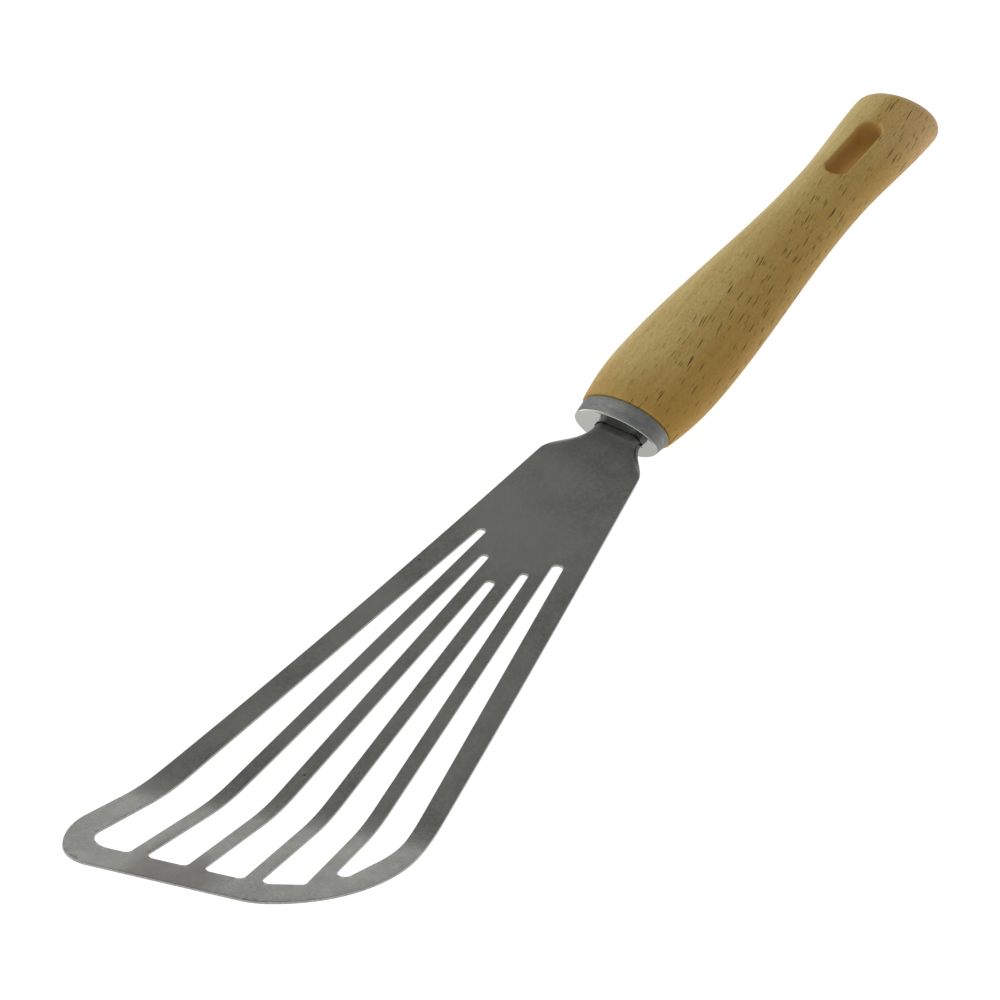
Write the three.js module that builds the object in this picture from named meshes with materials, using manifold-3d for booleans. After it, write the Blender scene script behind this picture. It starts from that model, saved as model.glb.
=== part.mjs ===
// Slotted turner: a sheet-steel blade with fanned slots and a turned-up tip, a pressed steel ferrule
// cap and an oval beech handle, with the blade's tang bonded inside the handle.
// Millimetres. The tool is built along X, from the butt to the tip, with the handle's front end at
// x = 0, and is then laid on the table that it rests on, with Z up.
import * as THREE from 'three';
import { mergeVertices } from 'three/addons/utils/BufferGeometryUtils.js';
import Module from 'manifold-3d';

const wasm = await Module();
wasm.setup();

// Fits and fineness
const CLEARANCE = 0.3;
const ARC_ERROR = 0.03;
const OVAL_SIDES = 48;
const HANDLE_STEPS = 22;
const NECK_STEPS = 12;
const FLANGE_STEPS = 6;
const DISH_STEPS = 6;
const BEND_STEPS = 10;

// Handle: full width and depth of its oval, and how far behind the front end each is reached. The butt
// is slanted by some degrees, with its right side further back.
const HANDLE_LENGTH = 130.7;
const FRONT_WIDTH = 24.4;
const FRONT_DEPTH = 13.9;
const BELLY_WIDTH = 28.3;
const BELLY_DEPTH = 15.7;
const BELLY_AT = 18.2;
const WAIST_WIDTH = 18.6;
const WAIST_DEPTH = 14.2;
const WAIST_AT = 94.9;
const BUTT_WIDTH = 21.9;
const BUTT_DEPTH = 14.1;
const BUTT_ROUND = 4.6;
const BUTT_DROP = 1.2;
const BUTT_SLANT = 5;
const FRONT_ROUND = 0.6;
const HANG_HOLE_LENGTH = 21.6;
const HANG_HOLE_WIDTH = 6.2;
const HANG_HOLE_AT = 105.6;

// Ferrule: a cap pushed over the handle's spigot, standing just inside the wood's edge, which
// tapers towards a face that is dished behind its lip
const FERRULE_LENGTH = 5;
const FERRULE_FACE_WIDTH = 22.6;
const FERRULE_FACE_DEPTH = 10.4;
const FERRULE_WALL = 1;
const FERRULE_ROUND = 0.4;
const FERRULE_LAND = 0.1;
const FERRULE_DISH = 0.6;
const DISH_FLAT = 0.3;
const DISH_POWER = 4;
const WOOD_STEP = 0.45;

// Neck and tang: a channel with its edges turned down, which flattens out into the blade and stands
// a little to the right of the handle's axis.
// Places along the neck and the blade are measured forward from the ferrule's face.
const SHEET = 0.8;
const TANG_LENGTH = 58;
const NECK_FLAT = 7.4;
const NECK_SIDE = 0.5;
const NECK_FLANGE = 3.2;
const NECK_TURN = 85;
const NECK_STRAIGHT = 0.6;
const LEFT_NECK_END = 1.3;
const RIGHT_NECK_END = -1.1;
const LEFT_SHOULDER_AT = 13.5;
const RIGHT_SHOULDER_AT = 10.7;
const BOND = 0.6;
const MORTISE_ROUND = 2;

// Blade outline, with angles in degrees from the tool's axis. Left and right are as seen from the tip:
// left is -Y and right is +Y. The left front corner is two arcs that meet on a cheek line.
const BLADE_LENGTH = 183.4;
const LEFT_HALF_WIDTH = 12.5;
const RIGHT_HALF_WIDTH = 12.75;
const LEFT_SPLAY_REAR = 6.1;
const LEFT_SPLAY_FRONT = 8.95;
const LEFT_SWEEP_AT = 91.5;
const LEFT_SWEEP_RADIUS = 2700;
const RIGHT_SPLAY_REAR = 10.1;
const RIGHT_SPLAY_FRONT = 9.2;
const RIGHT_SWEEP_AT = 71;
const RIGHT_SWEEP_RADIUS = 5000;
const FRONT_SLANT = 13;
const LEFT_CORNER_RADIUS = 8.8;
const LEFT_CHEEK_TURN = -56;
const LEFT_CHEEK_CUT = 9.1;
const LEFT_CHEEK_RADIUS = 21;
const NOSE_SLANT = 35;
const NOSE_SIDE = 16.1;
const NOSE_RADIUS = 17;
const RIGHT_CORNER_RADIUS = 39.4;

// Slots: wedges between straight ribs of one width that fan out from a point behind the ferrule, with
// a wider strip down each side of the blade
const SLOT_COUNT = 5;
const RIB_WIDTH = 3.5;
const FAN_PITCH = 3.47;
const FAN_TURN = 1.58;
const FAN_CENTRE_BACK = 39.1;
const FAN_CENTRE_LEFT = 1.2;
const SLOT_START = 96.1;
const SLOT_STAGGER = 6.2;
const SLOT_LEAN = 0.4;
const LEFT_STRIP = 4.45;
const LEFT_STRIP_TAPER = 1.6;
const RIGHT_STRIP = 5.65;
const RIGHT_STRIP_TAPER = 0.5;
const FRONT_BAND = 8;
const NOSE_BAND = 7.6;
const CORNER_BAND = 6.2;
const CORNER_SLOT_TURN = 79;
const SLOT_REAR_ROUND = 0.8;
const SLOT_FRONT_ROUND = 1.7;
const LEFT_SLOT_ROUND = 4.7;

// Turned-up tip, bent along a line that lies askew to the tool's axis
const BEND_AT = 144;
const BEND_SKEW = 17.5;
const BEND_ANGLE = 17.2;
const BEND_RADIUS = 40;

const { degToRad, lerp, smoothstep } = THREE.MathUtils;
const face = FERRULE_LENGTH;

// Solids

function solidOf(geometry) {
  const bare = geometry.clone();
  bare.deleteAttribute('normal');
  bare.deleteAttribute('uv');
  const merged = mergeVertices(bare);
  const mesh = new wasm.Mesh({
    numProp: 3,
    vertProperties: merged.attributes.position.array,
    triVerts: new Uint32Array(merged.index.array),
  });
  return new wasm.Manifold(mesh);
}

function meshOf(name, solid, material) {
  const { vertProperties, triVerts } = solid.getMesh();
  const geometry = new THREE.BufferGeometry();
  geometry.setAttribute('position', new THREE.Float32BufferAttribute(vertProperties, 3));
  geometry.setIndex(Array.from(triVerts));
  geometry.computeVertexNormals();
  const mesh = new THREE.Mesh(geometry, material);
  mesh.name = name;
  return mesh;
}

// A closed skin over rings that run forward along X, each counter-clockwise as seen from the tip.
// A ring's points pair up across it, first with last, which makes the strips of the end caps.
function loft(rings) {
  const count = rings[0].length;
  const index = [];
  const quad = (a, b, c, d) => index.push(a, b, c, a, c, d);
  for (let ring = 1; ring < rings.length; ring += 1) {
    const rear = (ring - 1) * count;
    const front = ring * count;
    for (let i = 0; i < count; i += 1) {
      const next = (i + 1) % count;
      quad(rear + i, rear + next, front + next, front + i);
    }
  }
  const last = (rings.length - 1) * count;
  for (let i = 0; i < count / 2 - 1; i += 1) {
    const strip = [i, i + 1, count - 2 - i, count - 1 - i];
    quad(...strip.map((point) => last + point));
    quad(...strip.toReversed());
  }
  const positions = rings.flat().flatMap((point) => point.toArray());
  const geometry = new THREE.BufferGeometry();
  geometry.setAttribute('position', new THREE.Float32BufferAttribute(positions, 3));
  geometry.setIndex(index);
  return solidOf(geometry);
}

// An oval ring round a place on the X axis, lowered by a drop. A slant sets its right side back.
function ovalRing(x, drop, halfWidth, halfDepth, slant = 0) {
  return Array.from({ length: OVAL_SIDES }, (_, side) => {
    const turn = (2 * Math.PI * (side + 0.5)) / OVAL_SIDES;
    const y = halfWidth * Math.cos(turn);
    return new THREE.Vector3(x - slant * y, y, halfDepth * Math.sin(turn) - drop);
  });
}

// A quarter-round edge as steps of (depth from the end face, inset from the side), from the side in.
function roundSteps(radius) {
  const steps = arcSteps(radius, Math.PI / 2);
  return Array.from({ length: steps }, (_, step) => {
    const turn = ((Math.PI / 2) * (step + 1)) / steps;
    return { depth: radius * (1 - Math.sin(turn)), inset: radius * (1 - Math.cos(turn)) };
  });
}

// A section drawn in (y, z), run along X from one place to another.
function beam(shape, rear, front) {
  const geometry = new THREE.ExtrudeGeometry(shape, { depth: front - rear, bevelEnabled: false });
  geometry.rotateX(Math.PI / 2).rotateZ(Math.PI / 2).translate(rear, 0, 0);
  return solidOf(geometry);
}

// A shape drawn in plan, cut square through everything at its place.
function punch(shape) {
  const depth = 2 * BLADE_LENGTH;
  const geometry = new THREE.ExtrudeGeometry(shape, { depth, bevelEnabled: false });
  return solidOf(geometry.translate(0, 0, -depth / 2));
}

// Plan geometry

const plan = (x, y) => new THREE.Vector2(x, y);

function arcSteps(radius, angle) {
  const step = 2 * Math.acos(1 - Math.min(ARC_ERROR / radius, 1));
  return Math.max(1, Math.ceil(angle / step));
}

// A straight edge, kept as its outward normal and its distance from the origin along that normal.
function edge(normalDegrees, point) {
  const turn = degToRad(normalDegrees);
  const normal = plan(Math.cos(turn), Math.sin(turn));
  return { normal, distance: normal.dot(point) };
}

const moved = (line, outward) => ({ ...line, distance: line.distance + outward });
const squareAcross = (x) => edge(0, plan(x, 0));

function meet(a, b) {
  const cross = a.normal.cross(b.normal);
  return plan(
    (a.distance * b.normal.y - b.distance * a.normal.y) / cross,
    (a.normal.x * b.distance - b.normal.x * a.distance) / cross,
  );
}

const corner = (a, b, radius = 0) => ({ at: meet(a, b), radius });

// A polygon with each corner rounded to its radius, or to what its two sides leave room for.
function roundedPolygon(corners) {
  const count = corners.length;
  const fits = corners.map(({ at, radius }, i) => {
    const before = corners.at(i - 1).at.clone().sub(at);
    const after = corners[(i + 1) % count].at.clone().sub(at);
    const half = Math.acos(before.dot(after) / before.length() / after.length()) / 2;
    return { at, before, after, half, reach: radius / Math.tan(half) };
  });
  const room = (fit, other, side) => Math.min(1, side.length() / (fit.reach + other.reach));
  return fits.flatMap((fit, i) => {
    if (fit.reach === 0) return [fit.at];
    const roomBefore = room(fit, fits.at(i - 1), fit.before);
    const roomAfter = room(fit, fits[(i + 1) % count], fit.after);
    const reach = fit.reach * Math.min(roomBefore, roomAfter);
    const start = fit.at.clone().addScaledVector(fit.before, reach / fit.before.length());
    const end = fit.at.clone().addScaledVector(fit.after, reach / fit.after.length());
    const inward = start.clone().add(end).multiplyScalar(0.5).sub(fit.at);
    const centre = fit.at.clone().addScaledVector(inward, 1 / Math.cos(fit.half) ** 2);
    const sweep = Math.PI - 2 * fit.half;
    const sense = Math.sign(fit.after.cross(fit.before));
    const steps = arcSteps(reach * Math.tan(fit.half), sweep);
    return Array.from({ length: steps + 1 }, (_, step) =>
      start.clone().rotateAround(centre, (sense * sweep * step) / steps),
    );
  });
}

// A rectangle with rounded corners about a centre.
function roundedBox(centre, halfLength, halfWidth, radius) {
  const corners = [[-1, -1], [1, -1], [1, 1], [-1, 1]].map(([x, y]) => {
    return { at: plan(centre.x + x * halfLength, centre.y + y * halfWidth), radius };
  });
  return new THREE.Shape(roundedPolygon(corners));
}

// Handle and ferrule ovals

// Half the width or depth of the handle's oval, a distance behind its front end.
function handleHalf(back, front, belly, waist, butt) {
  if (back < BELLY_AT) return (belly - (belly - front) * (1 - back / BELLY_AT) ** 2) / 2;
  if (back < WAIST_AT) return lerp(belly, waist, smoothstep(back, BELLY_AT, WAIST_AT)) / 2;
  return lerp(waist, butt, smoothstep(back, WAIST_AT, HANDLE_LENGTH - BUTT_ROUND)) / 2;
}

const halfWidthAt = (back) => handleHalf(back, FRONT_WIDTH, BELLY_WIDTH, WAIST_WIDTH, BUTT_WIDTH);
const halfDepthAt = (back) => handleHalf(back, FRONT_DEPTH, BELLY_DEPTH, WAIST_DEPTH, BUTT_DEPTH);

// How far the handle's axis has fallen, from the belly to the butt.
const dropAt = (back) => BUTT_DROP * smoothstep(back, BELLY_AT, HANDLE_LENGTH);

// How far the butt's slant sets the handle back for each millimetre to the right, behind the hang hole.
function slantAt(back) {
  const holeEnd = HANG_HOLE_AT + HANG_HOLE_LENGTH / 2;
  return Math.tan(degToRad(BUTT_SLANT)) * smoothstep(back, holeEnd, HANDLE_LENGTH - BUTT_ROUND);
}

function handleRing(back, inset) {
  const halfWidth = halfWidthAt(back) - inset;
  return ovalRing(-back, dropAt(back), halfWidth, halfDepthAt(back) - inset, slantAt(back));
}

function ferruleRing(x, inset) {
  const halfWidth = lerp(FRONT_WIDTH / 2 - WOOD_STEP, FERRULE_FACE_WIDTH / 2, x / face);
  const halfDepth = lerp(FRONT_DEPTH / 2 - WOOD_STEP, FERRULE_FACE_DEPTH / 2, x / face);
  return ovalRing(x, 0, halfWidth - inset, halfDepth - inset);
}

const ferruleInside = face - FERRULE_DISH - FERRULE_WALL;
const spigotEnd = ferruleInside - CLEARANCE;

// Neck, tang and mortise

const neckTurn = degToRad(NECK_TURN);
const flangeRadius = NECK_FLANGE / neckTurn;
const plateStart = Math.max(LEFT_SHOULDER_AT, RIGHT_SHOULDER_AT);

// Half the sheet's flattened width on one side, opening from the neck to the blade's own edge.
function sheetHalf(at, neckHalf, neckEnd, shoulderAt, shoulderHalf, splay) {
  const edgeHalf = shoulderHalf + (at - shoulderAt) * Math.tan(degToRad(splay));
  return lerp(neckHalf, edgeHalf, smoothstep(at, neckEnd, shoulderAt));
}

function leftHalf(at) {
  const neckHalf = NECK_FLAT / 2 + NECK_FLANGE - NECK_SIDE;
  return sheetHalf(at, neckHalf, LEFT_NECK_END, LEFT_SHOULDER_AT, LEFT_HALF_WIDTH, LEFT_SPLAY_REAR);
}

function rightHalf(at) {
  const neckHalf = NECK_FLAT / 2 + NECK_FLANGE + NECK_SIDE;
  return sheetHalf(at, neckHalf, RIGHT_NECK_END, RIGHT_SHOULDER_AT, RIGHT_HALF_WIDTH, RIGHT_SPLAY_REAR);
}

// The channel's section a distance ahead of the ferrule's face, with its skin moved out by a margin.
function neckRing(at, margin) {
  const flatness = smoothstep(at, NECK_STRAIGHT, plateStart);
  const curl = (1 - flatness) / flangeRadius;
  const drop = (turn) => (curl ? (1 - Math.cos(turn)) / curl : 0);
  const crown = drop(curl * NECK_FLANGE) / 2;
  const flange = (side, half) =>
    Array.from({ length: FLANGE_STEPS + 1 }, (_, step) => {
      const along = ((NECK_FLANGE + margin) * step) / FLANGE_STEPS;
      const turn = curl * along;
      const out = half - NECK_FLANGE + (curl ? Math.sin(turn) / curl : along);
      const skin = SHEET / 2 + margin;
      const middle = new THREE.Vector3(face + at, side * out, crown - drop(turn));
      const normal = new THREE.Vector3(0, side * Math.sin(turn), Math.cos(turn));
      const upper = middle.clone().addScaledVector(normal, skin);
      const lower = middle.clone().addScaledVector(normal, -skin);
      return { upper, lower };
    });
  const across = [...flange(1, rightHalf(at)).reverse(), ...flange(-1, leftHalf(at))];
  return [...across.map((point) => point.upper), ...across.map((point) => point.lower).reverse()];
}

// The straight tang with its skin moved out by a margin, for what is cut to pass it.
function tangSpace(margin) {
  return loft([neckRing(-TANG_LENGTH - margin, margin), neckRing(NECK_STRAIGHT, margin)]);
}

const mortiseEnd = face - TANG_LENGTH - 2 * CLEARANCE - BOND;

// The mortise's rounded section round the channel, drawn smaller by an inset.
function mortiseSection(inset) {
  const margin = SHEET / 2 + 2 * CLEARANCE + BOND - inset;
  const halfWidth = NECK_FLAT / 2 + flangeRadius * Math.sin(neckTurn) + margin;
  const halfDepth = (flangeRadius * (1 - Math.cos(neckTurn))) / 2 + margin;
  return roundedBox(plan(NECK_SIDE, 0), halfWidth, halfDepth, MORTISE_ROUND - inset);
}

// Handle

function hangHole() {
  const round = HANG_HOLE_WIDTH / 2;
  return punch(roundedBox(plan(-HANG_HOLE_AT, 0), HANG_HOLE_LENGTH / 2, round, round));
}

function makeHandle() {
  const bodyRear = HANDLE_LENGTH - BUTT_ROUND;
  const butt = roundSteps(BUTT_ROUND).map(({ depth, inset }) => {
    return handleRing(HANDLE_LENGTH - depth, inset);
  });
  const body = Array.from({ length: HANDLE_STEPS + 1 }, (_, step) => {
    return handleRing(lerp(bodyRear, FRONT_ROUND, step / HANDLE_STEPS), 0);
  });
  const front = roundSteps(FRONT_ROUND).map(({ depth, inset }) => handleRing(depth, inset));
  const spigot = [0, spigotEnd].map((x) => ferruleRing(x, FERRULE_WALL + CLEARANCE));
  return loft([...butt.reverse(), ...body, ...front, ...spigot])
    .subtract(beam(mortiseSection(0), mortiseEnd, face))
    .subtract(hangHole());
}

// Ferrule

// The dish in the face, steep at its rim and flat towards the middle.
function faceDish() {
  const halfWidth = FERRULE_FACE_WIDTH / 2 - FERRULE_ROUND - FERRULE_LAND;
  const halfDepth = FERRULE_FACE_DEPTH / 2 - FERRULE_ROUND - FERRULE_LAND;
  const ring = (share, x) => ovalRing(x, 0, share * halfWidth, share * halfDepth);
  const dish = Array.from({ length: DISH_STEPS + 1 }, (_, step) => {
    const share = lerp(DISH_FLAT, 1, step / DISH_STEPS);
    return ring(share, face - FERRULE_DISH * (1 - share ** DISH_POWER));
  });
  return loft([...dish, ring(1, face + FERRULE_DISH)]);
}

function makeFerrule() {
  const band = [CLEARANCE, face - FERRULE_ROUND].map((x) => ferruleRing(x, 0));
  const lip = roundSteps(FERRULE_ROUND).map(({ depth, inset }) => ferruleRing(face - depth, inset));
  const hollow = [-FERRULE_WALL, ferruleInside].map((x) => ferruleRing(x, FERRULE_WALL));
  return loft([...band, ...lip])
    .subtract(loft(hollow))
    .subtract(faceDish())
    .subtract(tangSpace(CLEARANCE));
}

// Blade

const leftShoulder = plan(face + LEFT_SHOULDER_AT, -LEFT_HALF_WIDTH);
const rightShoulder = plan(face + RIGHT_SHOULDER_AT, RIGHT_HALF_WIDTH);
const leftRear = edge(-90 - LEFT_SPLAY_REAR, leftShoulder);
const rightRear = edge(90 + RIGHT_SPLAY_REAR, rightShoulder);
const leftSweep = meet(leftRear, squareAcross(face + LEFT_SWEEP_AT));
const rightSweep = meet(rightRear, squareAcross(face + RIGHT_SWEEP_AT));
const leftFront = edge(-90 - LEFT_SPLAY_FRONT, leftSweep);
const rightFront = edge(90 + RIGHT_SPLAY_FRONT, rightSweep);
const tip = edge(FRONT_SLANT, plan(face + BLADE_LENGTH, 0));
const nose = edge(NOSE_SLANT, meet(tip, edge(90, plan(0, NOSE_SIDE))));
const leftCheek = moved(edge(LEFT_CHEEK_TURN, meet(leftFront, tip)), -LEFT_CHEEK_CUT);

function bladeOutline() {
  const rear = squareAcross(face + plateStart);
  return roundedPolygon([
    corner(rear, leftRear),
    corner(leftRear, leftFront, LEFT_SWEEP_RADIUS),
    corner(leftFront, leftCheek, LEFT_CHEEK_RADIUS),
    corner(leftCheek, tip, LEFT_CORNER_RADIUS),
    corner(tip, nose, NOSE_RADIUS),
    corner(nose, rightFront, RIGHT_CORNER_RADIUS),
    corner(rightFront, rightRear, RIGHT_SWEEP_RADIUS),
    corner(rightRear, rear),
  ]);
}

// The line that ends the slot beside the rounded right corner: a tangent to the corner's inner arc.
function cornerSlotEnd() {
  const centre = meet(moved(nose, -RIGHT_CORNER_RADIUS), moved(rightFront, -RIGHT_CORNER_RADIUS));
  return moved(edge(CORNER_SLOT_TURN, centre), RIGHT_CORNER_RADIUS - CORNER_BAND);
}

function slotOutlines() {
  const fanCentre = plan(face - FAN_CENTRE_BACK, -FAN_CENTRE_LEFT);
  const middle = (SLOT_COUNT - 1) / 2;
  const fan = (place) => FAN_TURN + (place - middle) * FAN_PITCH;
  const rib = (place) => edge(90 + fan(place), fanCentre);
  const leftStrip = moved(edge(90 - LEFT_SPLAY_FRONT + LEFT_STRIP_TAPER, leftSweep), LEFT_STRIP);
  const rightStrip = moved(edge(90 + RIGHT_SPLAY_FRONT + RIGHT_STRIP_TAPER, rightSweep), -RIGHT_STRIP);
  const ends = Array(SLOT_COUNT).fill(moved(tip, -FRONT_BAND));
  ends.splice(-2, 2, moved(nose, -NOSE_BAND), cornerSlotEnd());
  return ends.map((end, slot) => {
    const isFirst = slot === 0;
    const isLast = slot === SLOT_COUNT - 1;
    const left = isFirst ? leftStrip : moved(rib(slot - 0.5), RIB_WIDTH / 2);
    const right = isLast ? rightStrip : moved(rib(slot + 0.5), -RIB_WIDTH / 2);
    const place = slot - middle;
    const start = SLOT_START + SLOT_LEAN * place - SLOT_STAGGER * Math.abs(place);
    const rear = moved(edge(fan(slot), fanCentre), start);
    return roundedPolygon([
      corner(rear, left, SLOT_REAR_ROUND),
      corner(left, end, isFirst ? LEFT_SLOT_ROUND : SLOT_FRONT_ROUND),
      corner(end, right, isLast ? RIGHT_CORNER_RADIUS - CORNER_BAND : SLOT_FRONT_ROUND),
      corner(right, rear, SLOT_REAR_ROUND),
    ]);
  });
}

// Turned-up tip: places are measured across the bend's line, from the tool's origin
const bendSkew = degToRad(BEND_SKEW);
const bendAngle = degToRad(BEND_ANGLE);
const bendStart = (face + BEND_AT) * Math.cos(bendSkew) - BEND_RADIUS * Math.tan(bendAngle / 2);

// The flat and turned-up sheet, wider and longer than the blade on every side.
function bentSheet() {
  const skin = (height) => {
    const radius = BEND_RADIUS - height;
    const bend = Array.from({ length: BEND_STEPS + 1 }, (_, step) => {
      const turn = (bendAngle * step) / BEND_STEPS;
      return plan(bendStart + radius * Math.sin(turn), BEND_RADIUS - radius * Math.cos(turn));
    });
    const rise = plan(Math.cos(bendAngle), Math.sin(bendAngle)).multiplyScalar(BLADE_LENGTH);
    return [plan(-BLADE_LENGTH, height), ...bend, bend.at(-1).clone().add(rise)];
  };
  const profile = new THREE.Shape([...skin(-SHEET / 2), ...skin(SHEET / 2).reverse()]);
  const depth = 2 * BLADE_LENGTH;
  const geometry = new THREE.ExtrudeGeometry(profile, { depth, bevelEnabled: false });
  geometry.translate(0, 0, -depth / 2).rotateX(Math.PI / 2).rotateZ(bendSkew);
  return solidOf(geometry);
}

function makeBlade() {
  const shape = new THREE.Shape(bladeOutline());
  shape.holes = slotOutlines().map((outline) => new THREE.Path(outline));
  const neck = Array.from({ length: NECK_STEPS + 1 }, (_, step) => {
    return neckRing(lerp(NECK_STRAIGHT, plateStart, step / NECK_STEPS), 0);
  });
  const tang = neckRing(-TANG_LENGTH, 0);
  return punch(shape).intersect(bentSheet()).add(loft([tang, ...neck]));
}

// Tang bond

function makeBond() {
  const filling = beam(mortiseSection(CLEARANCE), mortiseEnd + CLEARANCE, spigotEnd);
  return filling.subtract(tangSpace(CLEARANCE));
}

// Resting place: the table touches the underside of the bend and the lowest side of the handle.
function tableNormal() {
  const slopes = Array.from({ length: HANDLE_LENGTH }, (_, back) => {
    const handleDepth = halfDepthAt(back) + dropAt(back);
    return (handleDepth - SHEET / 2) / (bendStart + back * Math.cos(bendSkew));
  });
  const slope = Math.max(...slopes);
  return new THREE.Vector3(-slope * Math.cos(bendSkew), -slope * Math.sin(bendSkew), 1).normalize();
}

// Assembly

const beech = new THREE.MeshStandardMaterial({ color: '#b08a50', roughness: 0.6 });
const satinSteel = new THREE.MeshStandardMaterial({ color: '#7b7c77', roughness: 0.4, metalness: 1 });
const platedSteel = new THREE.MeshStandardMaterial({ color: '#b8babb', roughness: 0.2, metalness: 1 });
const curedEpoxy = new THREE.MeshStandardMaterial({ color: '#c8b483', roughness: 0.5 });

const tool = new THREE.Group();
tool.add(
  meshOf('handle', makeHandle(), beech),
  meshOf('ferrule', makeFerrule(), platedSteel),
  meshOf('blade', makeBlade(), satinSteel),
  meshOf('tang_bond', makeBond(), curedEpoxy),
);
tool.quaternion.setFromUnitVectors(tableNormal(), new THREE.Vector3(0, 0, 1));

const turner = new THREE.Group();
turner.add(tool);
turner.updateMatrixWorld(true);
const bounds = new THREE.Box3().setFromObject(tool, true);
const centre = bounds.getCenter(new THREE.Vector3());
tool.position.set(-centre.x, -centre.y, -bounds.min.z);

export default turner;
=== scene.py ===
"""Looks of a slotted turner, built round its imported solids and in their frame.

The handle, the ferrule and the blade get finer skins with broken edges and procedural materials.
The bond inside the handle keeps its solid and only gets a material. Sizes are in millimetres along
the tool's own axes: X runs from the butt to the tip, with the handle's front end at x = 0. The
skins are laid on the table with the same turn and place as the solids.
"""

import math

import bpy
import bmesh
from mathutils import Matrix, Vector
from mathutils.geometry import delaunay_2d_cdt
from mathutils.kdtree import KDTree


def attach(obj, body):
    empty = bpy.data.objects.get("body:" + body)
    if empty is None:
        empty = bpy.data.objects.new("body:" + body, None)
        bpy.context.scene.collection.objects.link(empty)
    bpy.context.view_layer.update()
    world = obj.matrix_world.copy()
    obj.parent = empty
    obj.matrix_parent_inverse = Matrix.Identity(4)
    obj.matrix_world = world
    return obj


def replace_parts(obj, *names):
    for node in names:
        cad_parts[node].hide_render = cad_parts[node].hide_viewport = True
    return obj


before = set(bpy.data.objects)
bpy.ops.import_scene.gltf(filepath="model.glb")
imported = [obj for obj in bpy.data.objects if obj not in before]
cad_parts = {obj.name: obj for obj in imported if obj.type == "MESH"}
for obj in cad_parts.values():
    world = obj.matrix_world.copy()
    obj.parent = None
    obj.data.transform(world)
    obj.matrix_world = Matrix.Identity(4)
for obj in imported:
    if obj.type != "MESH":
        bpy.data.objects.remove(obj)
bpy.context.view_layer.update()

MM = 0.001

# Handle: full width and depth of its oval, and how far behind the front end each is reached. The
# butt lies lower than the front end by BUTT_DROP, and its end slants by BUTT_SLANT degrees.
HANDLE_LENGTH = 130.7
FRONT_WIDTH = 24.4
FRONT_DEPTH = 13.9
BELLY_WIDTH = 28.3
BELLY_DEPTH = 15.7
BELLY_AT = 18.2
WAIST_WIDTH = 18.6
WAIST_DEPTH = 14.2
WAIST_AT = 94.9
BUTT_WIDTH = 21.9
BUTT_DEPTH = 14.1
BUTT_ROUND = 4.6
BUTT_DROP = 1.2
BUTT_SLANT = 5
FRONT_ROUND = 0.6
HANG_HOLE_LENGTH = 21.6
HANG_HOLE_WIDTH = 6.2
HANG_HOLE_AT = 105.6
RIM_ROUND = 0.35
BUTT_RIM_ROUND = 0.9

# Ferrule: a cap that tapers from the handle to its face. A dish is sunk in the face behind a narrow
# land, and the slot through it clears the tang by TANG_GAP.
CLEARANCE = 0.3
FERRULE_LENGTH = 5
FERRULE_FACE_WIDTH = 22.6
FERRULE_FACE_DEPTH = 10.4
FERRULE_WALL = 1
FERRULE_ROUND = 0.4
FERRULE_LAND = 0.1
FERRULE_DISH = 0.6
DISH_POWER = 4
TANG_GAP = 0.12
FERRULE_HEM = 0.12
WOOD_STEP = 0.45

# Neck and tang, measured forward from the ferrule's face, and the mortise round the tang
SHEET = 0.8
TANG_LENGTH = 58
NECK_FLAT = 7.4
NECK_SIDE = 0.5
NECK_FLANGE = 3.2
NECK_TURN = math.radians(85)
NECK_STRAIGHT = 0.6
LEFT_NECK_END = 1.3
RIGHT_NECK_END = -1.1
LEFT_SHOULDER_AT = 13.5
RIGHT_SHOULDER_AT = 10.7
BOND = 0.6
MORTISE_ROUND = 2

# Blade outline, with angles in degrees from the tool's axis: left is -Y and right is +Y
BLADE_LENGTH = 183.4
LEFT_HALF_WIDTH = 12.5
RIGHT_HALF_WIDTH = 12.75
LEFT_SPLAY_REAR = 6.1
LEFT_SPLAY_FRONT = 8.95
LEFT_SWEEP_AT = 91.5
LEFT_SWEEP_RADIUS = 2700
RIGHT_SPLAY_REAR = 10.1
RIGHT_SPLAY_FRONT = 9.2
RIGHT_SWEEP_AT = 71
RIGHT_SWEEP_RADIUS = 5000
FRONT_SLANT = 13
LEFT_CORNER_RADIUS = 8.8
LEFT_CHEEK_TURN = -56
LEFT_CHEEK_CUT = 9.1
LEFT_CHEEK_RADIUS = 21
NOSE_SLANT = 35
NOSE_SIDE = 16.1
NOSE_RADIUS = 17
RIGHT_CORNER_RADIUS = 39.4

# Slots: they fan out from a centre behind the ferrule's face, with angles in degrees
SLOT_COUNT = 5
RIB_WIDTH = 3.5
FAN_PITCH = 3.47
FAN_TURN = 1.58
FAN_CENTRE_BACK = 39.1
FAN_CENTRE_LEFT = 1.2
SLOT_START = 96.1
SLOT_STAGGER = 6.2
SLOT_LEAN = 0.4
LEFT_STRIP = 4.45
LEFT_STRIP_TAPER = 1.6
RIGHT_STRIP = 5.65
RIGHT_STRIP_TAPER = 0.5
FRONT_BAND = 8
NOSE_BAND = 7.6
CORNER_BAND = 6.2
CORNER_SLOT_TURN = 79
SLOT_REAR_ROUND = 1.3
SLOT_FRONT_ROUND = 1.7
LEFT_SLOT_ROUND = 4.7

# Turned-up tip, with its bend askew to the axis
BEND_AT = 144
BEND_SKEW = math.radians(17.5)
BEND_ANGLE = math.radians(17.2)
BEND_RADIUS = 40

# Where the tool lies in the solids' frame
TOOL_AT = Vector((-31.3729, -0.8066, 7.2308))

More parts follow.
